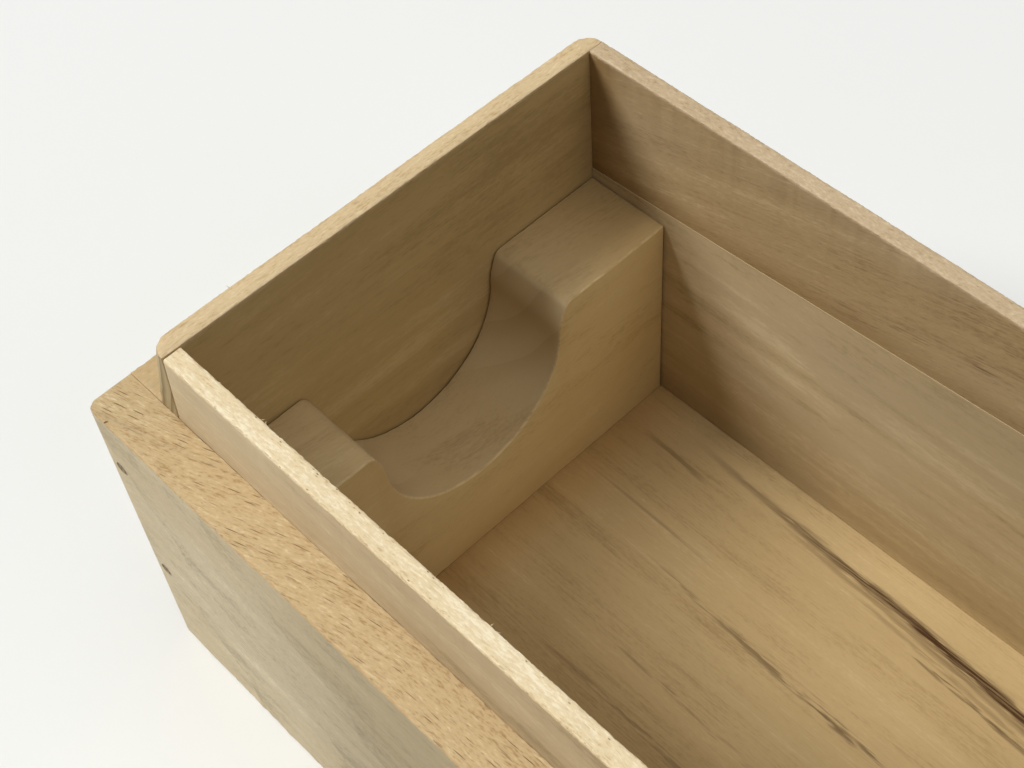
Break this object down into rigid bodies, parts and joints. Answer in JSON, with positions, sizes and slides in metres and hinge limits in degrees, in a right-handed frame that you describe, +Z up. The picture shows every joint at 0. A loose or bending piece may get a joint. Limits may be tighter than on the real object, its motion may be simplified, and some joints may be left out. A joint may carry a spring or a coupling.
{
  "type": "scroll box",
  "caption": "Long open box of unvarnished pale wood for a rolled scroll, with a raised inner lip, a round-notched rest at each end and a lift-off lid laid beside it.",
  "frame": {"origin": "middle of the box's underside", "axes": "+Z up; X along the box, with the end seen in the picture at -X; Y across it, with the front and the lid at -Y"},
  "size_m": [0.6264, 0.2152, 0.0689],
  "materials": {
    "outer_wood": "bare planed paulownia",
    "liner_wood": "bare planed paulownia, paler",
    "liner_wood_dark": "bare paulownia, coarser grain",
    "floor_wood": "bare planed paulownia, streaked",
    "rest_wood": "bare sawn and sanded paulownia",
    "peg_wood": "end grain of a hard wooden peg",
    "lid_wood": "bare planed paulownia"
  },
  "bodies": {
    "box": {"front_wall": "outer_wood", "back_wall": "outer_wood", "left_end_wall": "outer_wood", "right_end_wall": "outer_wood", "bottom_board": "floor_wood", "front_liner": "liner_wood", "back_liner_lower": "liner_wood", "back_liner_upper": "liner_wood_dark", "left_end_liner": "liner_wood", "right_end_liner": "liner_wood", "left_scroll_rest": "rest_wood", "right_scroll_rest": "rest_wood", "peg_front_left_upper": "peg_wood", "peg_front_left_lower": "peg_wood", "peg_front_right_upper": "peg_wood", "peg_front_right_lower": "peg_wood", "peg_back_left_upper": "peg_wood", "peg_back_left_lower": "peg_wood", "peg_back_right_upper": "peg_wood", "peg_back_right_lower": "peg_wood"},
    "lid": {"lid_top": "lid_wood", "lid_front_rim": "lid_wood", "lid_back_rim": "lid_wood", "lid_left_rim": "lid_wood", "lid_right_rim": "lid_wood", "lid_peg_front_left": "peg_wood", "lid_peg_front_right": "peg_wood", "lid_peg_back_left": "peg_wood", "lid_peg_back_right": "peg_wood"}
  },
  "joints": [
    {"name": "lid_lift", "type": "slide", "parent": "box", "child": "lid", "axis": [0, 0, 1], "range_m": [0, 0.15]}
  ]
}
